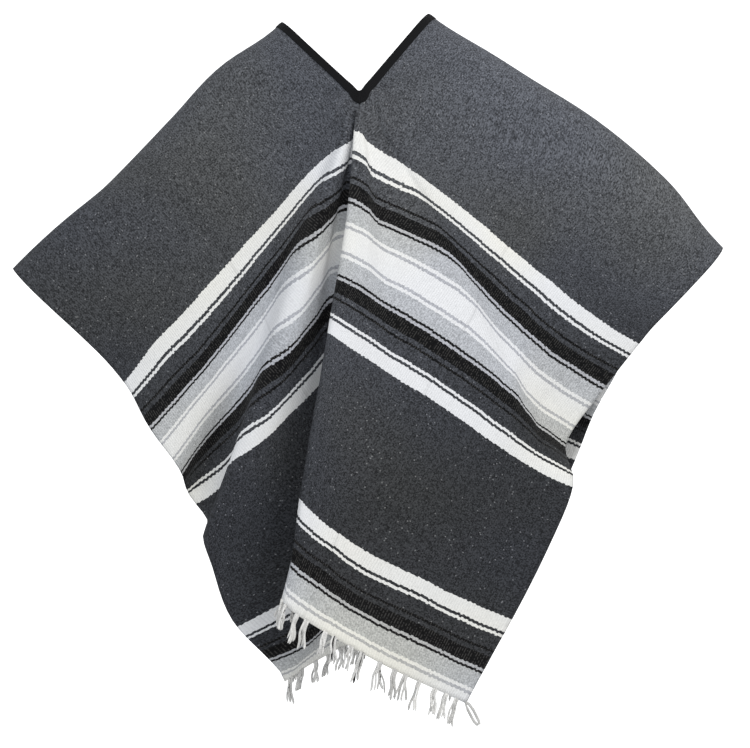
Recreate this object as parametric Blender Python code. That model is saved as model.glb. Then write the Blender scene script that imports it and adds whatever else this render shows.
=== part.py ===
"""A woven blanket poncho, hanging as it does when it is worn with the arms held a little out.

One striped blanket goes over both shoulders. It is slit along the middle for the head, and the
slit is bound with black tape. Opening the slit into a V in front and behind leaves more cloth
below each V than hangs flat, so that cloth falls in folds that all run out from the V's point.

Metres, +Z up. The front faces -Y. The origin is where the shoulders hold the poncho up: in the
middle of the neck, at the height of the shoulder folds beside it.
"""

from bisect import bisect_right
from math import atan2, cos, degrees, exp, hypot, pi, radians, sin, sqrt

import bmesh
import bpy
from mathutils import Vector

# Sizes of the flat cloth
CLOTH_WIDTH = 1.24
PANEL_LENGTH = 0.990
SLIT_HALF = 0.220
CLOTH_THICKNESS = 0.002

# Places on the wearer
ARM_RADIUS = 0.050
V_POINT_X = 0.005
V_POINT_Z = -0.130
V_POINT_OUT = 0.065

# Neck tape
TAPE_WIDTH = 0.015
TAPE_THICKNESS = 0.0026
TAPE_GAP = 0.0006

# Fringe
STRIP_DEPTH = 0.008
STRIP_GAP = 0.0007
LOCKS_PER_HEM = 54
LOCK_WIDTH = 0.005
LOCK_LENGTH = 0.050
LOCK_LEAN = 0.10
LOCK_FROM_BEND = 0.001
LOCK_UNEVENNESS = 0.16
LOCK_BEND = 0.35
LOCK_WIDTH_AT_BEND = 0.85
LOCK_WIDTH_AT_TIP = 0.40
SPACING_UNEVENNESS = 0.18

SEAM_GAP = 0.0003

# Colours of the yarns and how rough each is
CHARCOAL = (0.07, 0.073, 0.08)
TAPE_BLACK = (0.008, 0.008, 0.009)
UNDYED = (0.62, 0.60, 0.56)
CLOTH_ROUGHNESS = 0.95
TAPE_ROUGHNESS = 0.85

# How the folds start below the V: no fold up to FOLD_START of a fold line, all of it from FOLD_FULL
FOLD_START = 0.03
FOLD_FULL = 0.20
DRAW_IN = 0.12
OPEN_SHARE = 0.764
OPEN_SWING = 3.5

# Rings of the mesh, as shares of each fold line from the V's point to the cloth's edge
RINGS = (0, 0.03, 0.07, 0.12, 0.18, 0.25, 0.33, 0.42, 0.52, 0.62, 0.72, 0.80, 0.87, 0.94, 1)

# Where the blanket's own edges lie, measured from the V's point on the flat cloth
HALF_WIDTH = CLOTH_WIDTH / 2
HEM_BELOW = PANEL_LENGTH - STRIP_DEPTH - STRIP_GAP - SLIT_HALF
CORNER = degrees(atan2(HALF_WIDTH, HEM_BELOW))
SHOULDER_CORNER = degrees(atan2(HALF_WIDTH, -SLIT_HALF))
TAPE_CORNER = degrees(atan2(TAPE_WIDTH, -SLIT_HALF))

# Each row is one fold line, straight in the cloth from the V's point to the cloth's edge:
#   cloth      its direction in the flat cloth, in degrees from straight down
#   miss       how far beside the V's point it would pass if it weren't drawn in to it
#   turn_near  how far it is turned in the front view near the V, in degrees
#   turn_end   the same at the cloth's edge
#   out_mid    how far its middle stands out from the arms' face
#   out_end    the same at the cloth's edge
#   take_up    the share of its length that small waves take up
#   cells      mesh cells from this row to the next one
COLUMNS = ("cloth", "miss", "turn_near", "turn_end", "out_mid", "out_end", "take_up", "cells")

LEFT_SHOULDER = (
    (-180.0, 0.000, 46.5, 45.5, 0.035, 0.000, 0.000, 2),
    (-148.0, 0.000, 40.0, 38.0, 0.035, 0.000, 0.000, 2),
    (-131.0, 0.000, 41.0, 42.3, 0.025, 0.000, 0.000, 2),
    (-118.0, 0.000, 42.0, 43.9, 0.020, 0.000, 0.005, 2),
    (-SHOULDER_CORNER, -0.010, 42.0, 43.0, 0.015, 0.000, 0.015, 3),
    (-97.0, -0.025, 42.5, 45.1, 0.020, 0.000, 0.036, 3),
)
RIGHT_SHOULDER = (
    (97.0, 0.000, -37.0, -39.6, 0.030, 0.000, 0.012, 3),
    (SHOULDER_CORNER, 0.000, -36.5, -39.3, 0.020, 0.000, 0.000, 2),
    (114.0, 0.000, -35.0, -35.7, 0.015, 0.000, 0.005, 2),
    (122.0, 0.000, -34.0, -33.4, 0.020, 0.000, 0.005, 2),
    (133.0, 0.000, -34.0, -33.8, 0.025, 0.000, 0.005, 2),
    (151.0, 0.000, -35.5, -34.6, 0.035, 0.000, 0.000, 2),
    (180.0, 0.000, -39.0, -39.0, 0.035, 0.000, 0.000, 0),
)

# Front and back each have one deep pleat under the V, its right part lying over the left.
PLEAT = (
    (-CORNER, -0.035, 37.0, 30.8, 0.075, 0.075, 0.040, 2),
    (-33.0, -0.020, 37.0, 31.0, 0.065, 0.050, 0.040, 2),
    (-26.0, 0.000, 34.0, 31.5, 0.050, 0.010, 0.020, 2),
    (-19.0, 0.010, 32.0, 32.3, 0.032, -0.026, 0.000, 2),
    (-14.5, 0.015, 29.7, 29.7, 0.038, -0.010, 0.000, 2),
    (-10.0, 0.018, 23.6, 23.6, 0.050, 0.018, 0.000, 2),
    (3.0, 0.030, 0.5, 0.5, 0.100, 0.090, 0.000, 2),
    (13.0, 0.036, -17.0, -17.0, 0.140, 0.175, 0.000, 2),
    (17.3, 0.040, -24.3, -24.5, 0.158, 0.222, 0.000, 2),
    (20.0, 0.043, -28.0, -28.0, 0.170, 0.245, 0.000, 2),
    (23.0, 0.043, -29.8, -29.6, 0.172, 0.250, 0.000, 2),
    (30.0, 0.038, -32.0, -29.0, 0.155, 0.200, 0.000, 3),
    (CORNER, 0.030, -34.0, -29.1, 0.110, 0.080, 0.000, 3),
    (50.0, 0.020, -35.5, -27.7, 0.085, 0.070, 0.000, 3),
)

# Beyond the pleat the cloth hangs smoothly to each selvage, with one soft fold on the left.
FRONT_LEFT = (
    (-85.4, -0.045, 43.0, 46.5, 0.030, -0.005, 0.025, 3),
    (-76.6, -0.055, 43.0, 44.2, 0.035, 0.045, 0.000, 2),
    (-67.5, -0.065, 42.0, 41.7, 0.035, 0.050, 0.000, 2),
    (-62.0, -0.070, 41.0, 38.3, 0.035, 0.010, 0.000, 2),
    (-58.0, -0.072, 39.5, 37.7, 0.060, 0.045, 0.005, 2),
    (-55.4, -0.070, 38.0, 36.4, 0.090, 0.085, 0.000, 2),
    (-52.0, -0.065, 37.5, 34.4, 0.100, 0.105, 0.000, 2),
    (-46.0, -0.050, 37.0, 31.6, 0.092, 0.110, 0.000, 2),
)
FRONT_RIGHT = (
    (60.0, 0.010, -36.5, -31.8, 0.065, 0.080, 0.000, 2),
    (67.5, 0.008, -37.0, -35.3, 0.055, 0.010, 0.022, 2),
    (76.6, 0.004, -37.2, -36.5, 0.050, 0.000, 0.024, 2),
    (85.4, 0.000, -37.5, -37.5, 0.040, 0.000, 0.020, 3),
)
BACK_LEFT = (
    (-85.4, -0.045, 43.0, 47.0, 0.030, 0.000, 0.030, 3),
    (-72.0, -0.060, 43.0, 43.5, 0.040, 0.010, 0.015, 3),
    (-58.0, -0.070, 40.0, 38.5, 0.070, 0.050, 0.010, 3),
    (-46.0, -0.050, 37.5, 34.0, 0.085, 0.090, 0.010, 3),
)
BACK_RIGHT = (
    (60.0, 0.010, -36.5, -28.8, 0.065, 0.015, 0.025, 2),
    (67.5, 0.008, -37.0, -30.8, 0.055, 0.000, 0.026, 2),
    (76.6, 0.004, -37.2, -33.4, 0.050, 0.000, 0.018, 2),
    (85.4, 0.000, -37.5, -37.3, 0.040, 0.005, 0.018, 3),
)


class FoldTable:
    """The rows of one panel, and the smooth run of each column from row to row."""

    def __init__(self, rows, side):
        self.rows = rows
        self.side = side
        self.last = len(rows) - 1
        self.values = {}
        self.slopes = {}
        for place, name in enumerate(COLUMNS[:-1]):
            column = [row[place] for row in rows]
            self.values[name] = column
            self.slopes[name] = [self._slope(column, i, name == "cloth") for i in range(len(rows))]

    @staticmethod
    def _slope(column, i, rising):
        before = column[i] - column[max(i - 1, 0)]
        after = column[min(i + 1, len(column) - 1)] - column[i]
        if i == 0:
            return after
        if i == len(column) - 1:
            return before
        if rising:
            return 2 * before * after / (before + after)
        return (before + after) / 2

    def read(self, name, rib):
        """A column's value at a fold line, which may lie between two rows."""
        i = min(int(rib), self.last - 1)
        t = rib - i
        value, slope = self.values[name], self.slopes[name]
        return (
            (1 + 2 * t) * (1 - t) ** 2 * value[i]
            + t * (1 - t) ** 2 * slope[i]
            + t * t * (3 - 2 * t) * value[i + 1]
            + t * t * (t - 1) * slope[i + 1]
        )

    def rib_at(self, cloth_angle):
        """The fold line that runs in this direction of the flat cloth."""
        angles = self.values["cloth"]
        low = min(max(bisect_right(angles, cloth_angle) - 1, 0), self.last - 1)
        high = low + 1.0
        for _ in range(30):
            middle = (low + high) / 2
            if self.read("cloth", middle) < cloth_angle:
                low = middle
            else:
                high = middle
        return (low + high) / 2

    def mesh_ribs(self):
        """The fold lines that the mesh follows, from one corner beside the tape to the other."""
        first, last = self.rib_at(-TAPE_CORNER), self.rib_at(TAPE_CORNER)
        ribs = []
        for i, row in enumerate(self.rows[:-1]):
            ribs += [i + k / row[-1] for k in range(row[-1])]
        return [first] + [rib for rib in ribs if first < rib < last] + [last]


def cloth_reach(angle):
    """How far the flat cloth reaches from the V's point in this direction."""
    across, down = sin(radians(angle)), cos(radians(angle))
    reach = HALF_WIDTH / max(abs(across), 1e-9)
    if down > 0:
        return min(reach, HEM_BELOW / max(down, 1e-9))
    return min(reach, SLIT_HALF / max(-down, 1e-9))


def tape_reach(angle):
    """How far the tape reaches from the V's point in this direction."""
    return TAPE_WIDTH / (sin(radians(abs(angle))) if abs(angle) > 90 else 1)


def over_the_arm(v):
    """(drop below the shoulder ridge, distance out from it) of cloth that has gone v over the arm."""
    turn = min(max(v, 0) / ARM_RADIUS, pi / 2)
    return ARM_RADIUS * (1 - cos(turn)) + v - ARM_RADIUS * turn, ARM_RADIUS * sin(turn)


def ease(low, high, x):
    x = min(max((x - low) / (high - low), 0.0), 1.0)
    return x * x * (3 - 2 * x)


def hang(table, rib, t):
    """Where a point of the cloth hangs: t runs along the fold line from the V's point to the edge."""
    angle = table.read("cloth", rib)
    reach = cloth_reach(angle)
    miss = table.read("miss", rib) * (1 - t) * (1 - exp(-((t / DRAW_IN) ** 2)))
    across = t * reach * sin(radians(angle)) + miss * cos(radians(angle))
    down = t * reach * cos(radians(angle)) - miss * sin(radians(angle))
    drop, arm_out = over_the_arm(SLIT_HALF + down)
    drop -= over_the_arm(SLIT_HALF)[0]
    length = hypot(across, drop)
    flat = degrees(atan2(across, drop))
    if angle * flat < 0 and abs(flat) > 90:
        flat += 360 if angle > 0 else -360
    near, end = table.read("turn_near", rib), table.read("turn_end", rib)
    folded = flat + near + (end - near) * t
    opened = flat * OPEN_SHARE + OPEN_SWING
    share = ease(FOLD_START, FOLD_FULL, t)
    view = radians(opened + (folded - opened) * share)
    middle, edge = table.read("out_mid", rib), table.read("out_end", rib)
    out = V_POINT_OUT * (1 - t) * (1 - 2 * t) + middle * 4 * t * (1 - t) + edge * t * (2 * t - 1)
    out = V_POINT_OUT + (out - V_POINT_OUT) * share
    length = sqrt(max(length**2 - (out - V_POINT_OUT) ** 2, 0.0)) * (1 - table.read("take_up", rib) * t)
    return Vector(
        (
            V_POINT_X + length * sin(view),
            table.side * (arm_out + out + SEAM_GAP / 2),
            V_POINT_Z - length * cos(view),
        )
    )


def fabric(name, colour, roughness):
    material = bpy.data.materials.new(name)
    material.use_nodes = True
    shader = material.node_tree.nodes["Principled BSDF"]
    shader.inputs["Base Color"].default_value = (*colour, 1.0)
    shader.inputs["Roughness"].default_value = roughness
    shader.inputs["Metallic"].default_value = 0.0
    material.diffuse_color = (*colour, 1.0)
    return material


def add_object(name, mesh_builder, material, smooth=True):
    mesh = bpy.data.meshes.new(name)
    mesh_builder.to_mesh(mesh)
    mesh_builder.free()
    mesh.materials.append(material)
    if smooth:
        mesh.shade_smooth()
    obj = bpy.data.objects.new(name, mesh)
    bpy.context.scene.collection.objects.link(obj)
    return obj


class Panel:
    """Half of the blanket: the middle of its wall, a grid of fold lines from the tape to the edge."""

    def __init__(self, rows, side):
        self.table = FoldTable(rows, side)
        self.ribs = self.table.mesh_ribs()
        self.sheet = bmesh.new()
        self.grid = [self._fold_line(rib) for rib in self.ribs]
        for left, right in zip(self.grid, self.grid[1:]):
            for j in range(len(RINGS) - 1):
                add_face(self.sheet, [left[j], left[j + 1], right[j + 1], right[j]], turned=side > 0)
        bmesh.ops.triangulate(self.sheet, faces=self.sheet.faces, quad_method="SHORT_EDGE")
        self.sheet.normal_update()
        self._level_shoulder_normals()

    def _fold_line(self, rib):
        angle = self.table.read("cloth", rib)
        start = tape_reach(angle) / cloth_reach(angle)
        if start > 0.999:
            return [self.sheet.verts.new(hang(self.table, rib, 1.0))] * len(RINGS)
        return [self.sheet.verts.new(hang(self.table, rib, start + (1 - start) * ring)) for ring in RINGS]

    def _level_shoulder_normals(self):
        """The wall's edge along the shoulder fold stands square, so the two panels meet evenly."""
        for rib, line in zip(self.ribs, self.grid):
            if abs(self.table.read("cloth", rib)) > SHOULDER_CORNER - 0.01:
                normal = line[-1].normal.copy()
                normal.y = 0
                line[-1].normal = normal.normalized()

    def tape_lines(self):
        """(place at the slit, place at the cloth, normal there) round the slit, from left to right."""
        lines = []
        for rib, line in zip(self.ribs, self.grid):
            angle = self.table.read("cloth", rib)
            up = -tape_reach(angle) * cos(radians(angle)) / SLIT_HALF
            slit_rib = 0.0 if angle < 0 else float(self.table.last)
            slit = hang(self.table, slit_rib, min(max(up, 0.0), 1.0))
            lines.append((slit, line[0].co.copy(), line[0].normal.copy()))
        return lines


def add_face(sheet, corners, turned=False):
    """A face of the given corners; corners that coincide count once."""
    corners = [vert for i, vert in enumerate(corners) if vert is not corners[i - 1]]
    if len(corners) > 2:
        sheet.faces.new(corners[::-1] if turned else corners)


def thicken(sheet, thickness):
    """A sheet as a closed wall, half its thickness on each side."""
    solid = bmesh.new()
    half = thickness / 2
    pair = {}
    for vert in sheet.verts:
        outer = solid.verts.new(vert.co + vert.normal * half)
        inner = solid.verts.new(vert.co - vert.normal * half)
        pair[vert] = (outer, inner)
    for face in sheet.faces:
        solid.faces.new([pair[vert][0] for vert in face.verts])
        solid.faces.new([pair[vert][1] for vert in reversed(face.verts)])
    for edge in sheet.edges:
        if edge.is_boundary:
            loop = edge.link_loops[0]
            start, stop = pair[loop.vert], pair[loop.link_loop_next.vert]
            solid.faces.new((stop[0], start[0], start[1], stop[1]))
    return solid


def neck_binding(front, back):
    """One closed ring of tape round the whole slit, its edge beside the cloth's."""
    front_lines, back_lines = front.tape_lines(), back.tape_lines()
    shared = []
    for end in (0, -1):
        here, there = front_lines[end], back_lines[end]
        shared.append(tuple((a + b) / 2 for a, b in zip(here, there)))
    around = [shared[0]] + front_lines[1:-1] + [shared[1]] + back_lines[-2:0:-1]
    sheet = bmesh.new()
    ring = []
    for slit, seam, _ in around:
        place = seam + (slit - seam).normalized() * TAPE_GAP
        if ring and (ring[-1][0].co - slit).length < 1e-6:
            ring.append((ring[-1][0], sheet.verts.new(place)))
        else:
            ring.append((sheet.verts.new(slit), sheet.verts.new(place)))
    for here, there in zip(ring, ring[1:] + ring[:1]):
        add_face(sheet, [here[0], here[1], there[1], there[0]])
    bmesh.ops.triangulate(sheet, faces=sheet.faces, quad_method="SHORT_EDGE")
    sheet.normal_update()
    for (_, outer), (_, _, normal) in zip(ring, around):
        outer.normal = normal.normalized()
    solid = thicken(sheet, TAPE_THICKNESS)
    sheet.free()
    return solid


def hem_place(table, across, below_shoulder):
    """A point of the strip below the blanket's hem."""
    angle = degrees(atan2(across, below_shoulder - SLIT_HALF))
    return hang(table, table.rib_at(angle), (below_shoulder - SLIT_HALF) / HEM_BELOW)


def lock_places(bends):
    """The middle of each lock's root across the hem, a little unevenly spaced, beside the bends."""
    pitch = CLOTH_WIDTH / LOCKS_PER_HEM
    aside = LOCK_WIDTH / 2 + LOCK_FROM_BEND
    places = []
    for k in range(LOCKS_PER_HEM):
        middle = -HALF_WIDTH + (k + 0.5 + SPACING_UNEVENNESS * sin(2.3 * k)) * pitch
        for bend in bends:
            if abs(middle - bend) < aside:
                middle = bend + aside
        places.append(middle)
    return places


def fringe(panel):
    """The last threads of the weave: a narrow strip under the hem, with the locks growing from it."""
    table = panel.table
    stops = []
    for rib, line in zip(panel.ribs, panel.grid):
        angle = table.read("cloth", rib)
        if abs(angle) < CORNER + 0.01:
            across = HEM_BELOW * sin(radians(angle)) / cos(radians(angle))
            across = min(max(across, -HALF_WIDTH), HALF_WIDTH)
            stops.append((across, line[-1].normal.copy()))
    edges = []
    for across, normal in stops:
        top = hem_place(table, across, PANEL_LENGTH - STRIP_DEPTH)
        edges.append((across, top, hem_place(table, across, PANEL_LENGTH), normal))

    def between(across):
        i = min(max(bisect_right([e[0] for e in edges], across) - 1, 0), len(edges) - 2)
        share = (across - edges[i][0]) / (edges[i + 1][0] - edges[i][0])
        top, foot, normal = (edges[i][n].lerp(edges[i + 1][n], share) for n in (1, 2, 3))
        return across, top, foot, normal

    locks = {}
    cuts = list(edges)
    for k, middle in enumerate(lock_places([edge[0] for edge in edges])):
        root = (middle - LOCK_WIDTH / 2, middle + LOCK_WIDTH / 2)
        cuts += [between(root[0]), between(root[1])]
        locks[root[0]] = k
    cuts.sort(key=lambda cut: cut[0])

    solid = bmesh.new()
    half = CLOTH_THICKNESS / 2
    ring = []
    for _, top, foot, normal in cuts:
        corners = (top + normal * half, foot + normal * half, foot - normal * half, top - normal * half)
        ring.append([solid.verts.new(place) for place in corners])
    solid.faces.new(ring[0])
    solid.faces.new(reversed(ring[-1]))
    for cut, here, there in zip(cuts, ring, ring[1:]):
        for i in (0, 2, 3):
            k = (i + 1) % 4
            solid.faces.new((here[i], here[k], there[k], there[i]))
        root = [here[1], here[2], there[2], there[1]]
        if cut[0] in locks:
            add_lock(solid, root, (cut[2] - cut[1]).normalized(), locks[cut[0]])
        else:
            solid.faces.new(root)
    bmesh.ops.recalc_face_normals(solid, faces=solid.faces)
    return solid


def add_lock(solid, root, along_cloth, k):
    """One lock: it leaves along the cloth, then hangs down, thinner towards its tip."""
    middle = sum((vert.co for vert in root), Vector()) / 4
    spread = [vert.co - middle for vert in root]
    length = LOCK_LENGTH * (1 + LOCK_UNEVENNESS * sin(1.7 * k + 0.6))
    down = Vector((LOCK_LEAN * sin(2.9 * k), 0.5 * LOCK_LEAN * sin(4.1 * k), -1)).normalized()
    start = (along_cloth + down).normalized()
    ring = root
    bend = middle + start * length * LOCK_BEND
    tip = bend + down * length * (1 - LOCK_BEND)
    for place, size in ((bend, LOCK_WIDTH_AT_BEND), (tip, LOCK_WIDTH_AT_TIP)):
        following = [solid.verts.new(place + part * size) for part in spread]
        for i in range(4):
            n = (i + 1) % 4
            solid.faces.new((ring[i], ring[n], following[n], following[i]))
        ring = following
    solid.faces.new(ring)


def main():
    for obj in list(bpy.data.objects):
        bpy.data.objects.remove(obj, do_unlink=True)

    cloth = fabric("charcoal_blanket", CHARCOAL, CLOTH_ROUGHNESS)
    tape = fabric("black_tape", TAPE_BLACK, TAPE_ROUGHNESS)
    yarn = fabric("undyed_yarn", UNDYED, CLOTH_ROUGHNESS)

    front = Panel(LEFT_SHOULDER + FRONT_LEFT + PLEAT + FRONT_RIGHT + RIGHT_SHOULDER, side=-1)
    back = Panel(LEFT_SHOULDER + BACK_LEFT + PLEAT + BACK_RIGHT + RIGHT_SHOULDER, side=1)
    add_object("blanket_front", thicken(front.sheet, CLOTH_THICKNESS), cloth)
    add_object("blanket_back", thicken(back.sheet, CLOTH_THICKNESS), cloth)
    add_object("neck_binding", neck_binding(front, back), tape)
    add_object("fringe_front", fringe(front), yarn, smooth=False)
    add_object("fringe_back", fringe(back), yarn, smooth=False)
    front.sheet.free()
    back.sheet.free()


main()
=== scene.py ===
"""The looks of a woven blanket poncho, hanging as it is worn.

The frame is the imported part. The blanket, its neck tape and its fringe are modelled here as finer
pieces that stand for the part's solids. Metres, +Z up, the front faces -Y.
"""

import random
from bisect import bisect_right
from math import atan2, cos, degrees, exp, hypot, pi, radians, sin, sqrt

import bmesh
import bpy
from bpy.props import FloatProperty, FloatVectorProperty, IntProperty, PointerProperty
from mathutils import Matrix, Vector, noise


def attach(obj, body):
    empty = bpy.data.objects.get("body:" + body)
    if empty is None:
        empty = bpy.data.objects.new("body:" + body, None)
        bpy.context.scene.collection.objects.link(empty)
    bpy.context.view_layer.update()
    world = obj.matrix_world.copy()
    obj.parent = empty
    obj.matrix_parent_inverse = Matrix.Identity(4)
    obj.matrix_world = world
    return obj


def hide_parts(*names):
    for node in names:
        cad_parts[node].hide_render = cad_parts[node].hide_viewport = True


bl_info = {
    "name": "Woven blanket poncho",
    "version": (1, 0, 0),
    "blender": (4, 5, 0),
    "location": "3D View > Sidebar > Poncho",
    "description": "Models a striped blanket poncho with its neck tape, its fringe and a plain stage",
    "category": "Object",
}

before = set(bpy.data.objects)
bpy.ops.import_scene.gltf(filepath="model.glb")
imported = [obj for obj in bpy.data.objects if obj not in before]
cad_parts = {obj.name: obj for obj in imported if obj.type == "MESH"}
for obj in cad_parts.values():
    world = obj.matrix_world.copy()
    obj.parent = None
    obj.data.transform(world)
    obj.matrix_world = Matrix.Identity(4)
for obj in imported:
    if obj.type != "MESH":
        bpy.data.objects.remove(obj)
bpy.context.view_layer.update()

# The cut of the blanket and the places that hold it, as in the part
CLOTH_WIDTH = 1.24
PANEL_LENGTH = 0.990
SLIT_HALF = 0.220
HEM_STRIP = 0.0087
ARM_RADIUS = 0.050
V_POINT_X = 0.005
V_POINT_Z = -0.132
V_POINT_OUT = 0.065
# The tape's inner edge hangs this far below the V's point
TIP_DROP = 0.004

# How the folds start below the V, as shares of a fold line
FOLD_START = 0.012
FOLD_FULL = 0.045
FOLD_FULL_BESIDE = 0.12
DRAW_IN = 0.22
DRAW_IN_BESIDE = 0.44
# Fold lines this far from straight down, in degrees, start to count as beside the pleat, and fully do
BESIDE_PLEAT = (30, 70)
# The weft sags from its straight line beside the crest, below the V: by how much, where across the
# cloth and how far to each side, and where down the cloth it begins and ends
SAG = 0.031
SAG_ACROSS = 0.07
SAG_WIDTH = 0.14
SAG_BEGINS = (0.20, 0.33)
SAG_ENDS = (0.5, 0.8)
# Above the folds the cloth opens like a fan: its share of the flat cloth's angles, and its turn in degrees
OPEN_SHARE = 0.764
OPEN_SWING = 3.5

HALF_WIDTH = CLOTH_WIDTH / 2
HEM_BELOW = PANEL_LENGTH - HEM_STRIP - SLIT_HALF
CORNER = degrees(atan2(HALF_WIDTH, HEM_BELOW))
CUT_CORNER = degrees(atan2(HALF_WIDTH, PANEL_LENGTH - SLIT_HALF))
SHOULDER_CORNER = degrees(atan2(HALF_WIDTH, -SLIT_HALF))
# The last fold line beside the slit, in degrees from straight down
LAST_LINE = 179.0

# Each row is one fold line of the cloth, straight in the flat cloth from the V's point to its edge:
#   cloth      its direction in the flat cloth, in degrees from straight down
#   miss       how far beside the V's point it would pass if it weren't drawn in to it
#   turn_near  how far it is turned in the front view near the V, in degrees
#   turn_end   the same at the cloth's edge
#   out_mid    how far its middle stands out from the arms' face
#   out_end    the same at the cloth's edge
#   take_up    the share of its length that small waves take up
#   bow        how much further its middle is turned than a straight line would be, in degrees
#   sway       about how much further its upper part is turned, and its lower part less, in degrees
# Rows without bow and sway have none. In the front's rows from -97 to 97, miss, turn_near, turn_end, bow
# and sway were fitted by a separate program to where the photo's stripes fall, and then rounded. So were
# SAG, FOLD_FULL, DRAW_IN and what these two are beside the pleat.
COLUMNS = ("cloth", "miss", "turn_near", "turn_end", "out_mid", "out_end", "take_up", "bow", "sway")

LEFT_SHOULDER = (
    (-180.0, 0.000, 46.50, 45.50, 0.035, 0.000, 0.000),
    (-148.0, 0.000, 40.00, 38.00, 0.035, 0.000, 0.000),
    (-131.0, 0.000, 41.00, 42.25, 0.025, 0.000, 0.000),
    (-118.0, 0.000, 42.00, 44.00, 0.020, 0.000, 0.005),
    (-SHOULDER_CORNER, -0.010, 42.00, 43.00, 0.015, 0.000, 0.015),
    (-97.0, -0.017, 38.75, 46.50, 0.020, 0.000, 0.036, 2.00, 0.75),
)
RIGHT_SHOULDER = (
    (97.0, 0.004, -36.00, -40.25, 0.030, 0.000, 0.012, -0.75, 0.50),
    (SHOULDER_CORNER, 0.000, -36.50, -39.25, 0.020, 0.000, 0.000),
    (114.0, 0.000, -35.00, -35.75, 0.015, 0.000, 0.005),
    (122.0, 0.000, -34.00, -33.50, 0.020, 0.000, 0.005),
    (133.0, 0.000, -34.00, -33.75, 0.025, 0.000, 0.005),
    (151.0, 0.000, -35.50, -34.50, 0.035, 0.000, 0.000),
    (180.0, 0.000, -39.00, -39.00, 0.035, 0.000, 0.000),
)

# Front and back each have one deep pleat under the V, its right part lying over the left.
PLEAT = (
    (-CORNER, -0.032, 35.75, 32.00, 0.075, 0.075, 0.040, 1.75, -2.25),
    (-33.0, 0.007, 39.00, 32.00, 0.065, 0.050, 0.040, 1.25, 0.75),
    (-26.0, 0.019, 35.25, 31.50, 0.050, 0.010, 0.020, 0.25, 0.25),
    (-19.0, 0.024, 32.75, 32.25, 0.032, -0.026, 0.000, -0.25, 0.00),
    (-14.5, 0.024, 30.25, 29.75, 0.035, -0.010, 0.000, -0.25, -0.25),
    (-10.0, 0.026, 23.75, 23.75, 0.048, 0.018, 0.000, -0.25, -0.50),
    (3.0, 0.035, 0.25, 0.75, 0.078, 0.075, 0.000, -0.50, -0.75),
    (13.0, 0.039, -17.50, -16.50, 0.118, 0.160, 0.000, -0.75, -1.25),
    (17.3, 0.041, -26.25, -24.00, 0.150, 0.222, 0.000, -1.50, -2.25),
    (20.0, 0.046, -29.75, -28.25, 0.168, 0.245, 0.000, -1.25, -1.00),
    (23.0, 0.061, -29.00, -30.00, 0.172, 0.250, 0.000, -3.75, -0.75),
    (30.0, 0.059, -30.25, -29.75, 0.165, 0.200, 0.000, -5.50, -0.50),
    (CORNER, 0.040, -32.75, -29.00, 0.130, 0.080, 0.000, -3.75, -1.50),
    (50.0, 0.029, -33.75, -29.25, 0.100, 0.070, 0.000, -2.75, 0.50),
)

# Beyond the pleat the cloth hangs smoothly to each selvage, with one soft fold on the left.
FRONT_LEFT = (
    (-85.4, -0.027, 39.50, 46.00, 0.030, -0.005, 0.025, 3.00, 1.00),
    (-76.6, -0.041, 35.75, 45.00, 0.035, 0.045, 0.000, 5.75, 1.00),
    (-67.5, -0.051, 33.25, 42.25, 0.035, 0.050, 0.000, 6.25, 1.75),
    (-62.0, -0.057, 36.00, 38.50, 0.035, 0.010, 0.000, 5.00, 0.50),
    (-58.0, -0.055, 37.25, 38.50, 0.060, 0.045, 0.005, 2.50, 0.25),
    (-55.4, -0.045, 37.50, 36.25, 0.090, 0.085, 0.000, 2.75, 1.00),
    (-52.0, -0.037, 37.50, 34.75, 0.100, 0.105, 0.000, 3.50, 0.75),
    (-46.0, -0.025, 38.50, 32.50, 0.092, 0.110, 0.000, 0.75, -0.75),
)
FRONT_RIGHT = (
    (60.0, 0.022, -34.25, -31.75, 0.065, 0.080, 0.000, -0.75, 1.75),
    (67.5, 0.018, -34.75, -36.75, 0.055, 0.010, 0.022, -0.50, 1.25),
    (76.6, 0.009, -36.00, -37.00, 0.050, 0.000, 0.024, -1.00, 0.75),
    (85.4, 0.003, -36.75, -37.00, 0.040, 0.000, 0.020, -1.25, 0.50),
)
BACK_LEFT = (
    (-85.4, -0.045, 43.00, 47.00, 0.030, 0.000, 0.030),
    (-72.0, -0.060, 43.00, 43.50, 0.040, 0.010, 0.015),
    (-58.0, -0.070, 40.00, 38.50, 0.070, 0.050, 0.010),
    (-46.0, -0.050, 37.50, 34.00, 0.085, 0.090, 0.010),
)
BACK_RIGHT = (
    (60.0, 0.010, -36.50, -28.80, 0.065, 0.015, 0.025),
    (67.5, 0.008, -37.00, -30.80, 0.055, 0.000, 0.026),
    (76.6, 0.004, -37.20, -33.40, 0.050, 0.000, 0.018),
    (85.4, 0.000, -37.50, -37.30, 0.040, 0.005, 0.018),
)

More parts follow.
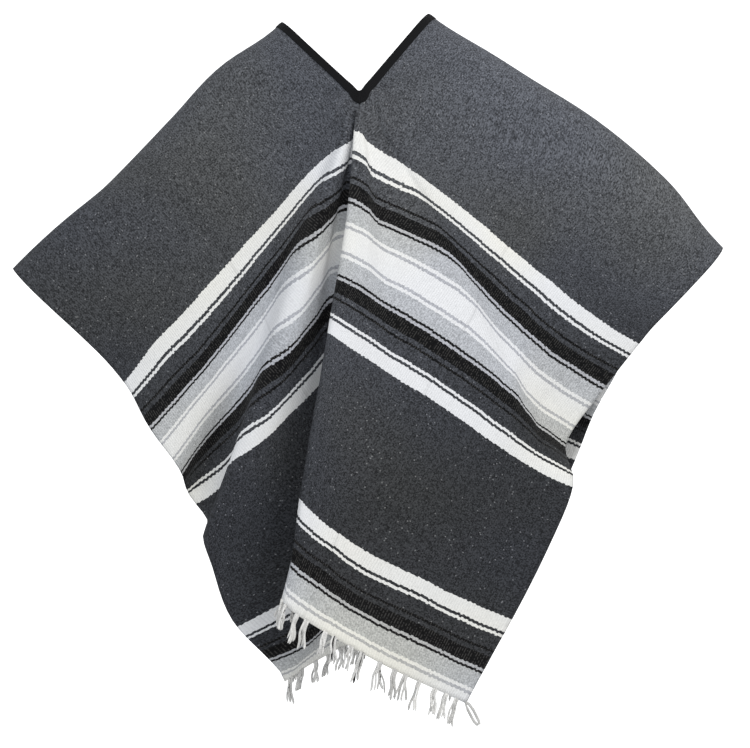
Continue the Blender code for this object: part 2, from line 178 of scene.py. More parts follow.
# Creases, listed one by one. Each runs between two points of the flat cloth: across from the middle and
# down from the shoulder fold. It is a soft ridge, or a trough where its height is negative.
# Its width is measured to each side.
CREASE_COLUMNS = ("from_across", "from_down", "to_across", "to_down", "width", "height")
FRONT_CREASES = (
    (0.345, 0.02, 0.338, 0.29, 0.010, -0.0028),
    (0.338, 0.54, 0.352, 0.85, 0.013, 0.0050),
    (0.350, 0.82, 0.345, 0.99, 0.015, 0.0045),
    (0.452, 0.33, 0.505, 0.62, 0.022, 0.0050),
    (0.560, 0.36, 0.545, 0.66, 0.018, -0.0040),
    (0.070, 0.20, 0.210, 0.16, 0.016, -0.0030),
    (0.420, 0.10, 0.590, 0.07, 0.018, 0.0035),
    (0.240, 0.62, 0.260, 0.90, 0.020, 0.0030),
    (0.440, 0.74, 0.430, 0.97, 0.020, -0.0035),
    (-0.345, 0.03, -0.335, 0.29, 0.010, -0.0028),
    (-0.400, 0.05, -0.380, 0.21, 0.030, -0.0045),
    (-0.520, 0.06, -0.540, 0.30, 0.022, 0.0035),
    (-0.160, 0.13, -0.150, 0.26, 0.022, -0.0040),
    (-0.440, 0.70, -0.470, 0.93, 0.020, 0.0040),
)
BACK_CREASES = (
    (0.346, 0.03, 0.342, 0.34, 0.010, -0.0028),
    (0.340, 0.50, 0.350, 0.92, 0.013, 0.0045),
    (-0.344, 0.04, -0.350, 0.40, 0.010, -0.0028),
    (-0.352, 0.47, -0.340, 0.88, 0.014, 0.0045),
    (0.120, 0.22, 0.240, 0.17, 0.018, -0.0030),
    (0.470, 0.30, 0.510, 0.58, 0.022, 0.0045),
    (-0.460, 0.26, -0.500, 0.55, 0.020, 0.0045),
    (0.230, 0.58, 0.250, 0.86, 0.020, -0.0035),
    (-0.180, 0.15, -0.150, 0.30, 0.022, -0.0035),
    (-0.420, 0.72, -0.450, 0.95, 0.020, 0.0035),
)
CREASES = {"front": FRONT_CREASES, "back": BACK_CREASES}
# The blanket was stored folded in four. This far from its middle a pressed line still shows.
PRESSED_FOLD = 0.345

# The weave's bands, from the middle of a band outwards: each stripe's width in metres and its yarn
BAND = (
    (0.0173, "white"),
    (0.0048, "grey"),
    (0.0054, "white"),
    (0.0270, "light_grey"),
    (0.0044, "black"),
    (0.0048, "grey"),
    (0.0216, "black"),
    (0.0076, "charcoal"),
    (0.0043, "black"),
    (0.0238, "charcoal"),
    (0.0048, "white"),
    (0.0049, "charcoal"),
    (0.0236, "white"),
)
BEYOND_BAND = 0.02
# What each yarn shows: how mottled it is, how much painted shade darkens its rib hollows, how much painted
# light and shade it takes and how many stray light fibres it has, and how clearly light dashes show along the
# ribs
YARN_LOOKS = {
    "white": (0.05, 0.09, 0.0, 0.0),
    "light_grey": (0.24, 0.12, 0.0, 0.0),
    "grey": (0.16, 0.10, 0.0, 0.0),
    "charcoal": (0.60, 0.20, 1.0, 0.0),
    "black": (0.45, 0.35, 0.1, 1.0),
}
FIRST_BAND = 0.4224
SECOND_BAND = 0.9933

# The edges of the stripes step from rib to rib and wander, in metres
RIB_STEP = 0.0013
PARITY_STEP = 0.0008
EDGE_WANDER = 0.009
WANDER_SCALE = 8.0
# Heather: the yarn's fibres, what whole picks add to them, how far both spread, and the darkest
FIBRE_SCALE = 620.0
PICK_SHARE = 0.9
HEATHER_SPREAD = 2.2
DARKEST_HEATHER = 0.25
# Painted light and shade on the dark yarn, in how light it is. It starts at a level on the shoulders and
# loses a share for each metre down, more on the right. Edges are darker with painted shade and the right of
# the neck is paler with painted light.
PAINTED_LIGHT_START = 1.40
PAINTED_SHADE_DOWN = 0.66
PAINTED_SHADE_DOWN_BY_SIDE = 0.24
PAINTED_LIGHT_BY_SIDE = 0.08
PAINTED_SHADE_EDGES = 1.15
PAINTED_SHADE_EDGES_FROM = 0.18
PAINTED_LIGHT_NECK = 2.8
PAINTED_LIGHT_NECK_REACH = 0.22
PAINTED_LIGHT_LEAST = 0.58
MIDDLE_BLEND = 0.1
# Stray light fibres: the share of places without one, and how clearly the others show
FLECKLESS = 0.993
FLECK_STRENGTH = 0.45
FLECK_COLOUR = (0.36, 0.36, 0.37)
# Light dashes along the backs of the ribs
DASH_SHARPNESS = 7.0
DASH_GAPS = 0.45
DASH_STRENGTH = 0.085
DASH_COLOUR = (0.54, 0.52, 0.49)
# A painted cool shade tint and a painted warm light tint, and how slowly one drifts into the other
COOL_SHADE_TINT = (0.955, 0.975, 1.03)
WARM_LIGHT_TINT = (1.015, 1.01, 0.955)
TINT_SCALE = 3.2
TINT_MIDDLE = 0.42
TINT_CONTRAST = 4.0
# How round the ribs are, and how high each thing stands in the weave's relief
RIB_ROUNDNESS = 0.6
RIB_HEIGHT = 0.6
WEFT_HEIGHT = 0.3
FIBRE_HEIGHT = 0.5
PRESSED_DEPTH = 0.8
# How much painted shade darkens the pressed line
PRESSED_SHADE = 0.22
PRESSED_WIDTH = 0.0045
PRESSED_WOBBLE = 0.008


class FoldTable:
    """The fold lines of one half of the blanket, and the smooth run of each column between them."""

    def __init__(self, rows, side):
        self.side = side
        self.last = len(rows) - 1
        rows = [row + (0.0,) * (len(COLUMNS) - len(row)) for row in rows]
        self.values = {name: [row[i] for row in rows] for i, name in enumerate(COLUMNS)}
        self.slopes = {name: self._slopes(self.values[name], name == "cloth") for name in COLUMNS}

    @staticmethod
    def _slopes(column, rising):
        steps = [b - a for a, b in zip(column, column[1:])]
        slopes = [steps[0]]
        for before, after in zip(steps, steps[1:]):
            slopes.append(2 * before * after / (before + after) if rising else (before + after) / 2)
        return slopes + [steps[-1]]

    def read(self, name, rib):
        i = min(int(rib), self.last - 1)
        t = rib - i
        value, slope = self.values[name], self.slopes[name]
        return (
            (1 + 2 * t) * (1 - t) ** 2 * value[i]
            + t * (1 - t) ** 2 * slope[i]
            + t * t * (3 - 2 * t) * value[i + 1]
            + t * t * (t - 1) * slope[i + 1]
        )

    def rib_at(self, cloth_angle):
        angles = self.values["cloth"]
        low = min(max(bisect_right(angles, cloth_angle) - 1, 0), self.last - 1)
        high = low + 1.0
        for _ in range(30):
            middle = (low + high) / 2
            if self.read("cloth", middle) < cloth_angle:
                low = middle
            else:
                high = middle
        return (low + high) / 2


def cloth_reach(angle, below=HEM_BELOW):
    """How far the flat cloth reaches from the V's point in this direction."""
    across, down = sin(radians(angle)), cos(radians(angle))
    reach = HALF_WIDTH / max(abs(across), 1e-9)
    return min(reach, below / max(down, 1e-9) if down > 0 else SLIT_HALF / max(-down, 1e-9))


def over_the_arm(v):
    """(drop below the shoulder ridge, distance out from it) of cloth that has gone v over the arm."""
    turn = min(max(v, 0) / ARM_RADIUS, pi / 2)
    return ARM_RADIUS * (1 - cos(turn)) + v - ARM_RADIUS * turn, ARM_RADIUS * sin(turn)


def ease(low, high, x):
    x = min(max((x - low) / (high - low), 0.0), 1.0)
    return x * x * (3 - 2 * x)


def hang(table, rib, t):
    """Where a point of the cloth hangs: t runs along the fold line from the V's point to the edge."""
    angle = table.read("cloth", rib)
    reach = cloth_reach(angle)
    beside = ease(*BESIDE_PLEAT, abs(angle))
    draw_in = DRAW_IN + (DRAW_IN_BESIDE - DRAW_IN) * beside
    miss = table.read("miss", rib) * (1 - t) * (1 - exp(-((t / draw_in) ** 2)))
    across = t * reach * sin(radians(angle)) + miss * cos(radians(angle))
    down = t * reach * cos(radians(angle)) - miss * sin(radians(angle))
    drop, arm_out = over_the_arm(SLIT_HALF + down)
    drop -= over_the_arm(SLIT_HALF)[0]
    length = hypot(across, drop)
    flat = degrees(atan2(across, drop))
    if angle * flat < 0 and abs(flat) > 90:
        flat += 360 if angle > 0 else -360
    near, end = table.read("turn_near", rib), table.read("turn_end", rib)
    folded = flat + near + (end - near) * t + table.read("bow", rib) * 4 * t * (1 - t)
    folded += table.read("sway", rib) * 10 * t * (1 - t) * (1 - 2 * t)
    opened = flat * OPEN_SHARE + OPEN_SWING
    share = ease(FOLD_START, FOLD_FULL + (FOLD_FULL_BESIDE - FOLD_FULL) * beside, t)
    view = radians(opened + (folded - opened) * share)
    middle, edge = table.read("out_mid", rib), table.read("out_end", rib)
    out = V_POINT_OUT * (1 - t) * (1 - 2 * t) + middle * 4 * t * (1 - t) + edge * t * (2 * t - 1)
    out = V_POINT_OUT + (out - V_POINT_OUT) * share
    length = sqrt(max(length**2 - (out - V_POINT_OUT) ** 2, 0.0)) * (1 - table.read("take_up", rib) * t)
    return Vector(
        (
            V_POINT_X + length * sin(view),
            table.side * (arm_out + out),
            V_POINT_Z - length * cos(view),
        )
    )


FRONT = FoldTable(LEFT_SHOULDER + FRONT_LEFT + PLEAT + FRONT_RIGHT + RIGHT_SHOULDER, side=-1)
BACK = FoldTable(LEFT_SHOULDER + BACK_LEFT + PLEAT + BACK_RIGHT + RIGHT_SHOULDER, side=1)


class PonchoBlanketSizes(bpy.types.PropertyGroup):
    thickness: FloatProperty(
        name="Cloth thickness",
        description="Thickness of the woven cloth",
        default=0.002,
        min=0.0005,
        subtype="DISTANCE",
        unit="LENGTH",
    )
    warp_pitch: FloatProperty(
        name="Warp pitch",
        description="Distance from one warp rib of the weave to the next",
        default=0.0038,
        subtype="DISTANCE",
        unit="LENGTH",
    )
    weft_pitch: FloatProperty(
        name="Weft pitch",
        description="Distance from one weft yarn to the next",
        default=0.0020,
        subtype="DISTANCE",
        unit="LENGTH",
    )
    columns: IntProperty(name="Columns", description="Mesh columns across each half", default=220, min=40)
    rings: IntProperty(name="Rings", description="Mesh rings from neck to edge", default=104, min=20)


class PonchoYarnColours(bpy.types.PropertyGroup):
    white: FloatVectorProperty(
        name="White", description="Undyed yarn", subtype="COLOR", default=(0.82, 0.81, 0.79)
    )
    light_grey: FloatVectorProperty(
        name="Light grey", description="Light grey yarn", subtype="COLOR", default=(0.49, 0.495, 0.50)
    )
    grey: FloatVectorProperty(
        name="Grey", description="Grey yarn", subtype="COLOR", default=(0.47, 0.47, 0.485)
    )
    charcoal: FloatVectorProperty(
        name="Charcoal", description="Charcoal yarn", subtype="COLOR", default=(0.0645, 0.067, 0.0735)
    )
    black: FloatVectorProperty(
        name="Black", description="Black yarn", subtype="COLOR", default=(0.0055, 0.0055, 0.006)
    )


class PonchoTapeSizes(bpy.types.PropertyGroup):
    width: FloatProperty(
        name="Tape width",
        description="Width of the folded tape on each side of the cloth",
        default=0.0162,
        subtype="DISTANCE",
        unit="LENGTH",
    )
    lift: FloatProperty(
        name="Tape lift",
        description="How far the tape's face stands off the middle of the cloth",
        default=0.0019,
        subtype="DISTANCE",
        unit="LENGTH",
    )
    colour: FloatVectorProperty(
        name="Tape colour", description="Black tape", subtype="COLOR", default=(0.004, 0.004, 0.0045)
    )


class PonchoFringeSizes(bpy.types.PropertyGroup):
    locks: IntProperty(name="Locks", description="Locks along each hem", default=54, min=4)
    yarns: IntProperty(name="Yarns", description="Yarns in most locks", default=4, min=2)
    length: FloatProperty(
        name="Lock length",
        description="Length of a lock from the hem to its tip",
        default=0.047,
        subtype="DISTANCE",
        unit="LENGTH",
    )
    yarn_radius: FloatProperty(
        name="Yarn radius",
        description="Radius of one yarn",
        default=0.0017,
        subtype="DISTANCE",
        unit="LENGTH",
    )


def add_object(name, data):
    made = bpy.data.objects.new(name, data)
    bpy.context.scene.collection.objects.link(made)
    return made


def add_mesh(name, mesh_builder, material):
    mesh = bpy.data.meshes.new(name)
    mesh_builder.to_mesh(mesh)
    mesh_builder.free()
    mesh.materials.append(material)
    return add_object(name, mesh)


def finish_piece(mesh_builder, name, material, nodes):
    """A new mesh object from a bmesh. It rides with the part and stands for the given nodes."""
    piece = add_mesh(name, mesh_builder, material)
    piece.data.shade_smooth()
    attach(piece, "root")
    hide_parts(*nodes)
    return piece


def even_columns(table, count):
    """Fold lines spaced evenly along the hanging cloth, with one at each of its corners."""
    steps = 900
    measured_at = 0.75
    turn_weight = 0.01
    first, last = table.rib_at(-LAST_LINE), table.rib_at(LAST_LINE)
    fine = [first + (last - first) * i / steps for i in range(steps + 1)]
    places = [hang(table, rib, measured_at) for rib in fine]
    turns = [abs(b - a) for a, b in zip(fine, fine[1:])]
    walked = [0.0]
    for here, there, turn in zip(places, places[1:], turns):
        walked.append(walked[-1] + (there - here).length + turn_weight * turn)
    ribs = []
    at = 0
    for i in range(count + 1):
        target = walked[-1] * i / count
        while at < steps - 1 and walked[at + 1] < target:
            at += 1
        share = (target - walked[at]) / max(walked[at + 1] - walked[at], 1e-12)
        ribs.append(fine[at] + (fine[at + 1] - fine[at]) * min(max(share, 0), 1))
    for corner in (-SHOULDER_CORNER, -CUT_CORNER, CUT_CORNER, SHOULDER_CORNER):
        exact = table.rib_at(corner)
        nearest = min(range(1, count), key=lambda i: abs(ribs[i] - exact))
        ribs[nearest] = exact
    return ribs


def crease_height(half, across, down):
    """How far the creases lift a point of the flat cloth."""
    fading_ends = 0.3
    height = 0.0
    for row in CREASES[half]:
        crease = dict(zip(CREASE_COLUMNS, row))
        run_across = crease["to_across"] - crease["from_across"]
        run_down = crease["to_down"] - crease["from_down"]
        length = hypot(run_across, run_down)
        to_across, to_down = across - crease["from_across"], down - crease["from_down"]
        along = (to_across * run_across + to_down * run_down) / length**2
        beside = (to_across * run_down - to_down * run_across) / length
        if 0 < along < 1 and abs(beside) < 3 * crease["width"]:
            ends = ease(0.0, fading_ends, along) * (1 - ease(1 - fading_ends, 1.0, along))
            height += crease["height"] * ends * exp(-((beside / crease["width"]) ** 2))
    return height


def surface_ripple(half, across, down):
    """The cloth's own unevenness: low broad swells and a slack, slightly wavy edge."""
    swell, swells_across, swells_down = 0.0016, 9, 7
    slack, slack_width, waves_down = 0.002, 0.05, 22
    place = 3.1 if half == "front" else 8.7
    lift = swell * noise.noise(Vector((across * swells_across, down * swells_down, place)))
    edge = 1 - ease(0.0, slack_width, HALF_WIDTH - abs(across))
    return lift + slack * edge * noise.noise(Vector((0.4 * across, down * waves_down, 5.3)))


def stripe_sag(across, down):
    """How far the weft sags where the pleat's crest has drawn it down, below the V."""
    beside = exp(-(((across - SAG_ACROSS) / SAG_WIDTH) ** 2))
    return SAG * beside * ease(*SAG_BEGINS, down) * (1 - ease(*SAG_ENDS, down))


def along_the_weave(across, down):
    """The distance woven up to a point of the cloth, where the weft sags from its straight line."""
    woven = down
    for _ in range(6):
        woven = down - stripe_sag(across, woven)
    return woven


def grid_points(mesh_builder, columns, rows):
    """A new grid in the mesh. Returns each of its points with its column and its row."""
    made = bmesh.ops.create_grid(mesh_builder, x_segments=columns, y_segments=rows, size=0.5)
    return {
        vert: (round((vert.co.x + 0.5) * columns), round((vert.co.y + 0.5) * rows))
        for vert in made["verts"]
    }


def half_blanket(cloth, table, half, sizes):
    """One half of the blanket: a grid bent along the fold lines. Its cloth coordinates go into the UVs."""
    inner = 0.006
    crowded_at_neck = 1.15
    smooth_at_fold = 0.05
    columns = even_columns(table, sizes.columns)
    uv_layer = cloth.loops.layers.uv.verify()
    at = {}
    for vert, (column, ring) in grid_points(cloth, sizes.columns, sizes.rings).items():
        rib = columns[column]
        angle = table.read("cloth", rib)
        whole = cloth_reach(angle, PANEL_LENGTH - SLIT_HALF)
        radius = inner + (whole - inner) * (ring / sizes.rings) ** crowded_at_neck
        across = radius * sin(radians(angle))
        down = SLIT_HALF + radius * cos(radians(angle))
        at[vert] = (across, down)
        vert.co = hang(table, rib, radius / cloth_reach(angle))
    faces = {face for vert in at for face in vert.link_faces}
    if table.side < 0:
        bmesh.ops.reverse_faces(cloth, faces=list(faces))
    for face in faces:
        face.normal_update()
        for loop in face.loops:
            across, down = at[loop.vert]
            loop[uv_layer].uv = (across, along_the_weave(across, down) * -table.side)
    for vert in at:
        vert.normal_update()
    for vert, (across, down) in at.items():
        relief = crease_height(half, across, down) + surface_ripple(half, across, down)
        vert.co += vert.normal * relief * ease(0.0, smooth_at_fold, down)


def lay_out_blanket(sizes):
    cloth = bmesh.new()
    half_blanket(cloth, FRONT, "front", sizes)
    half_blanket(cloth, BACK, "back", sizes)
    bmesh.ops.remove_doubles(cloth, verts=cloth.verts, dist=0.00002)
    return cloth


class Signal:
    """What a material's node puts out. Arithmetic with it makes Math nodes."""

    def __init__(self, tree, socket):
        self.tree = tree
        self.socket = socket

    def math(self, operation, *others):
        return math_node(self.tree, operation, self, *others)

    def __add__(self, other):
        return self.math("ADD", other)

    def __sub__(self, other):
        return self.math("SUBTRACT", other)

    def __rsub__(self, other):
        return math_node(self.tree, "SUBTRACT", other, self)

    def __mul__(self, other):
        return self.math("MULTIPLY", other)

    def __truediv__(self, other):
        return self.math("DIVIDE", other)

    def __pow__(self, other):
        return self.math("POWER", other)

    def __abs__(self):
        return self.math("ABSOLUTE")


def feed(tree, socket, value):
    """Give an input a number, a colour or what another node puts out."""
    if isinstance(value, Signal):
        tree.links.new(value.socket, socket)
    elif isinstance(value, tuple):
        socket.default_value = (*value, 1.0)
    else:
        socket.default_value = value


def add_node(tree, kind, inputs, output=0, **settings):
    node = tree.nodes.new(kind)
    for name, value in settings.items():
        setattr(node, name, value)
    for name, value in inputs.items():
        feed(tree, node.inputs[name], value)
    return Signal(tree, node.outputs[output])


def new_material(name, roughness):
    material = bpy.data.materials.new(name)
    material.use_nodes = True
    tree = material.node_tree
    shader = tree.nodes["Principled BSDF"]
    shader.inputs["Roughness"].default_value = roughness
    return material, tree, shader


def math_node(tree, operation, *values):
    return add_node(tree, "ShaderNodeMath", dict(enumerate(values)), operation=operation)


def combine(tree, x, y, z=0.0):
    return add_node(tree, "ShaderNodeCombineXYZ", {"X": x, "Y": y, "Z": z})


def separate(tree, vector):
    node = tree.nodes.new("ShaderNodeSeparateXYZ")
    feed(tree, node.inputs[0], vector)
    return [Signal(tree, output) for output in node.outputs]


def cloth_coordinates(tree):
    """(across, down) of the piece's own UV map, in metres."""
    across, down, _ = separate(tree, add_node(tree, "ShaderNodeUVMap", {}, "UV"))
    return across, down


def noise_node(tree, vector, scale, detail=2.0):
    inputs = {"Vector": vector, "Scale": scale, "Detail": detail}
    return add_node(tree, "ShaderNodeTexNoise", inputs, "Fac")


def random_cell(tree, x, y, z=0.0):
    """A number from 0 to 1 that is the same for the same three numbers."""
    inputs = {"Vector": combine(tree, x, y, z)}
    return add_node(tree, "ShaderNodeTexWhiteNoise", inputs, "Value", noise_dimensions="3D")


def mix_colour(tree, blend, factor, one, other):
    factor_input, one_input, other_input, colour_output = 0, 6, 7, 2
    inputs = {factor_input: factor, one_input: one, other_input: other}
    return add_node(tree, "ShaderNodeMix", inputs, colour_output, data_type="RGBA", blend_type=blend)


def shaded(colour, level):
    """The colour times a grey level."""
    tree = colour.tree
    return mix_colour(tree, "MULTIPLY", 1.0, colour, combine(tree, level, level, level))


def raise_surface(tree, shader, height, strength, distance):
    inputs = {"Height": height, "Strength": strength, "Distance": distance}
    feed(tree, shader.inputs["Normal"], add_node(tree, "ShaderNodeBump", inputs))


def band_ramp(tree, distance, values):
    """(colour, alpha) of one value for each stripe, from the middle of a band outwards."""
    node = tree.nodes.new("ShaderNodeValToRGB")
    node.color_ramp.interpolation = "CONSTANT"
    whole = sum(width for width, _ in BAND) + BEYOND_BAND
    feed(tree, node.inputs["Fac"], distance / whole)
    elements = node.color_ramp.elements
    elements.remove(elements[1])
    elements[0].color = values[BAND[0][1]]
    at = 0.0
    for (width, _), (_, yarn) in zip(BAND, BAND[1:] + ((BEYOND_BAND, "charcoal"),)):
        at += width
        elements.new(at / whole).color = values[yarn]
    return [Signal(tree, output) for output in node.outputs]


def stepped_length(tree, across, down, rib_random, parity):
    """Distance down the cloth, where the stripes' edges step from rib to rib and wander a little."""
    wander = noise_node(tree, combine(tree, across, down), WANDER_SCALE)
    length = abs(down) + (rib_random - 0.5) * RIB_STEP + (parity - 0.5) * PARITY_STEP
    return length + (wander - 0.5) * EDGE_WANDER


def pressed_line(tree, across, down):
    """1 on the pressed fold lines of the stored blanket, fading beside them and here and there along them."""
    wobble = noise_node(tree, combine(tree, 0.0, down), scale=14.0)
    beside = abs(across) - PRESSED_FOLD + wobble * PRESSED_WOBBLE - PRESSED_WOBBLE / 2
    inputs = {"Value": abs(beside), "From Min": PRESSED_WIDTH, "From Max": 0.0}
    near = add_node(tree, "ShaderNodeMapRange", inputs, interpolation_type="SMOOTHSTEP")
    return near * noise_node(tree, combine(tree, across, down, 2.0), scale=7.0)


def painted_light_level(across, down):
    """The painted light and shade on the dark yarn: palest by the neck on the right, darker down the cloth
    and outwards.
    """
    beside, below = abs(across), abs(down)
    side = across / (beside + MIDDLE_BLEND)
    edges = (beside - PAINTED_SHADE_EDGES_FROM).math("MAXIMUM", 0.0)
    near_neck = (PAINTED_LIGHT_NECK_REACH - below).math("MAXIMUM", 0.0)
    on_right = side.math("MAXIMUM", 0.0)
    level = PAINTED_LIGHT_START - below * (side * PAINTED_SHADE_DOWN_BY_SIDE + PAINTED_SHADE_DOWN)
    level = level - edges * PAINTED_SHADE_EDGES + side * PAINTED_LIGHT_BY_SIDE + near_neck * on_right * PAINTED_LIGHT_NECK
    return level.math("MAXIMUM", PAINTED_LIGHT_LEAST)


def blanket_material(sizes, colours):
    """Striped weft-faced weave: thick warp ribs run down, packed weft yarns run across in bands."""
    material, tree, shader = new_material("woven_blanket", roughness=0.92)
    across, down = cloth_coordinates(tree)
    warp = across / sizes.warp_pitch
    rib = warp.math("FLOOR")
    parity = rib.math("PINGPONG", 1.0)
    weft = down / sizes.weft_pitch + parity
    row = weft.math("FLOOR")
    half_rib = (warp * 2.0).math("FLOOR")

    length = stepped_length(tree, across, down, random_cell(tree, rib, 3.0), parity)
    distance = abs(length - FIRST_BAND).math("MINIMUM", abs(length - SECOND_BAND))
    yarns = {yarn: (*getattr(colours, yarn), 1.0) for yarn in YARN_LOOKS}
    colour, _ = band_ramp(tree, distance, yarns)
    looks, light_dashes = band_ramp(tree, distance, YARN_LOOKS)
    mottle, rib_hollow_shade, painted_light_and_fleck_share = separate(tree, looks)

    # Heather: the yarns of each stripe differ among themselves, from pick to pick and along each
    fibres = noise_node(tree, combine(tree, across * 0.5, down), FIBRE_SCALE, detail=3.0)
    picks = (random_cell(tree, half_rib, row) - 0.5) * PICK_SHARE
    heather = (fibres - 0.5 + picks) * HEATHER_SPREAD * mottle + 1.0
    colour = shaded(colour, heather.math("MAXIMUM", DARKEST_HEATHER))

    # Only the dark yarn gets painted light and shade, and only it has stray light fibres, a few to a hand's
    # breadth
    colour = shaded(colour, (painted_light_level(across, down) - 1.0) * painted_light_and_fleck_share + 1.0)
    fleck = random_cell(tree, half_rib, row, 7.0).math("GREATER_THAN", FLECKLESS)
    colour = mix_colour(tree, "MIX", fleck * (painted_light_and_fleck_share * FLECK_STRENGTH), colour, FLECK_COLOUR)

    # Slow random drift between a painted warm light tint and a painted cool shade tint
    drift = noise_node(tree, combine(tree, across, down), TINT_SCALE, detail=1.0)
    drift = add_node(tree, "ShaderNodeClamp", {"Value": (drift - TINT_MIDDLE) * TINT_CONTRAST})
    tint = mix_colour(tree, "MIX", drift, COOL_SHADE_TINT, WARM_LIGHT_TINT)
    colour = mix_colour(tree, "MULTIPLY", 1.0, colour, tint)

    # The ribs' rounded backs, each weft yarn bent over them, and the fuzz between
    rib_back = abs((warp * pi).math("SINE"))
    weft_back = abs((weft * pi).math("SINE"))
    hollow = rib_back**RIB_ROUNDNESS
    # Painted shade darkens the hollows between the ribs
    colour = shaded(colour, 1.0 - (1.0 - hollow) * rib_hollow_shade)
    broken = random_cell(tree, rib, row, 11.0).math("GREATER_THAN", DASH_GAPS)
    dash = rib_back**DASH_SHARPNESS * light_dashes * broken * DASH_STRENGTH
    colour = mix_colour(tree, "MIX", dash, colour, DASH_COLOUR)

    line = pressed_line(tree, across, down)
    # Painted shade darkens the pressed line's trough
    colour = shaded(colour, 1.0 - line * PRESSED_SHADE)
    height = hollow * RIB_HEIGHT + weft_back * WEFT_HEIGHT + fibres * FIBRE_HEIGHT - line * PRESSED_DEPTH
    raise_surface(tree, shader, height, strength=0.6, distance=0.0012)
    feed(tree, shader.inputs["Base Color"], colour)
    shader.inputs["Sheen Weight"].default_value = 0.04
    shader.inputs["Sheen Roughness"].default_value = 0.6
    shader.inputs["Specular IOR Level"].default_value = 0.08
    return material


class PONCHO_OT_blanket(bpy.types.Operator):
    """Weave the blanket and hang it in its folds"""

    bl_idname = "poncho.blanket"
    bl_label = "Blanket"

    def execute(self, context):
        sizes = context.scene.poncho_blanket
        cloth = lay_out_blanket(sizes)
        material = blanket_material(sizes, context.scene.poncho_colours)
        blanket = finish_piece(cloth, "blanket", material, ("blanket_front", "blanket_back"))
        wall = blanket.modifiers.new("thickness", "SOLIDIFY")
        wall.thickness = sizes.thickness
        wall.offset = 0.0
        return {"FINISHED"}


def surface_frame(table, across, down):
    """(place, normal) of the blanket's middle at a point of the flat cloth."""

    def place(a, d):
        angle = degrees(atan2(a, d - SLIT_HALF))
        return hang(table, table.rib_at(angle), hypot(a, d - SLIT_HALF) / cloth_reach(angle))

    step = 0.0008
    here = place(across, down)
    sideways = place(across + step, down) - place(across - step, down)
    downwards = place(across, down + step) - place(across, down - step)
    normal = downwards.cross(sideways).normalized() * -table.side
    if normal.y * table.side < 0 and abs(normal.y) > abs(normal.z):
        normal = -normal
    return here, normal


def tape_stations(width):
    """(point at the slit, point at the tape's free edge, in the flat cloth) from left to right."""
    leg_steps, end_steps = 32, 9
    deep = 1.2 * width
    fine_from = SLIT_HALF - width
    leg = [fine_from * i / leg_steps for i in range(leg_steps)]
    leg += [fine_from + width * i / end_steps for i in range(end_steps + 1)]
    turns = [radians(-90 + 10 * i) for i in range(1, 18)]
    lip = 0.0001
    left = [(-lip, down, -width, down) for down in leg]
    round_tip = [(0.0, SLIT_HALF, width * sin(turn), SLIT_HALF + deep * cos(turn)) for turn in turns]
    right = [(lip, down, width, down) for down in reversed(leg)]
    return left + round_tip + right


def round_the_tip(sections, edge, zone):
    """Draw the tape's inner edge at the V's tip into one round bend, fading across the tape."""
    first, last = zone[0], zone[-1]
    tip = edge[(first + last) // 2] + Vector((0.0, 0.0, -TIP_DROP))
    for i in zone:
        t = (i - first) / (last - first)
        bend = edge[first] * (1 - t) ** 2 + tip * 2 * t * (1 - t) + edge[last] * t * t
        for row in sections[i]:
            for share, place in enumerate(row):
                place += (bend - edge[i]) * (1 - share / (len(row) - 1)) ** 2


def tape_half(table, sizes):
    """The tape along one half of the slit: a row of points round the cloth's edge at each station."""
    across_half = 8
    rounded_from = SLIT_HALF - 0.012
    least_share, least_down = 0.02, 0.0012
    thin_edge, edge_slope, edge_start = 0.55, 2.2, 0.12
    sections, edge, zone = [], [], []
    for i, (in_across, in_down, out_across, out_down) in enumerate(tape_stations(sizes.width)):
        outer, inner = [], []
        for k in range(across_half + 1):
            share = k / across_half
            across = in_across + (out_across - in_across) * max(share, least_share)
            down = in_down + (out_down - in_down) * max(share, least_share)
            place, normal = surface_frame(table, across, max(down, least_down))
            rise = sin(pi * min(share * edge_slope + edge_start, 1.0) / 2)
            puff = normal * sizes.lift * (thin_edge + (1 - thin_edge) * rise)
            outer.append(place + puff)
            inner.append(place - puff)
            if k == 0:
                edge.append(place)
        sections.append((outer, inner))
        if in_down > rounded_from:
            zone.append(i)
    round_the_tip(sections, edge, zone)
    return [inner[::-1] + outer for outer, inner in sections]


def sew_tape(sizes):
    """The tape as one closed ring: a grid along the slit and round the cloth's edge."""
    ring = tape_half(FRONT, sizes) + tape_half(BACK, sizes)[::-1]
    tape = bmesh.new()
    around = len(ring) - 1
    across_count = len(ring[0]) - 1
    uv_layer = tape.loops.layers.uv.verify()
    walked = [0.0]
    for here, there in zip(ring, ring[1:]):
        walked.append(walked[-1] + (there[across_count] - here[across_count]).length)
    at = {}
    for vert, (i, k) in grid_points(tape, around, across_count).items():
        at[vert] = (walked[i], k * 2 * sizes.width / across_count)
        vert.co = ring[i][k]
    for face in tape.faces:
        for loop in face.loops:
            loop[uv_layer].uv = at[loop.vert]
    bmesh.ops.remove_doubles(tape, verts=tape.verts, dist=0.0003)
    return tape


def tape_material(sizes):
    """Knitted black tape with fine ribs across it, with painted light on the ribs' tops and painted shade in
    their hollows.
    """
    rib_pitch = 0.0024
    rib_top_painted_light = 2.2
    material, tree, shader = new_material("ribbed_tape", roughness=0.85)
    along, over = cloth_coordinates(tree)
    rib = abs((along * (pi / rib_pitch)).math("SINE"))
    fuzz = noise_node(tree, combine(tree, along, over), scale=1500.0)
    raise_surface(tree, shader, rib + fuzz * 0.6, strength=0.6, distance=0.0006)
    dark = tuple(sizes.colour)
    light = tuple(rib_top_painted_light * channel for channel in dark)
    # Painted light on the ribs' tops, painted shade in their hollows
    feed(tree, shader.inputs["Base Color"], mix_colour(tree, "MIX", rib, dark, light))
    shader.inputs["Specular IOR Level"].default_value = 0.12
    return material


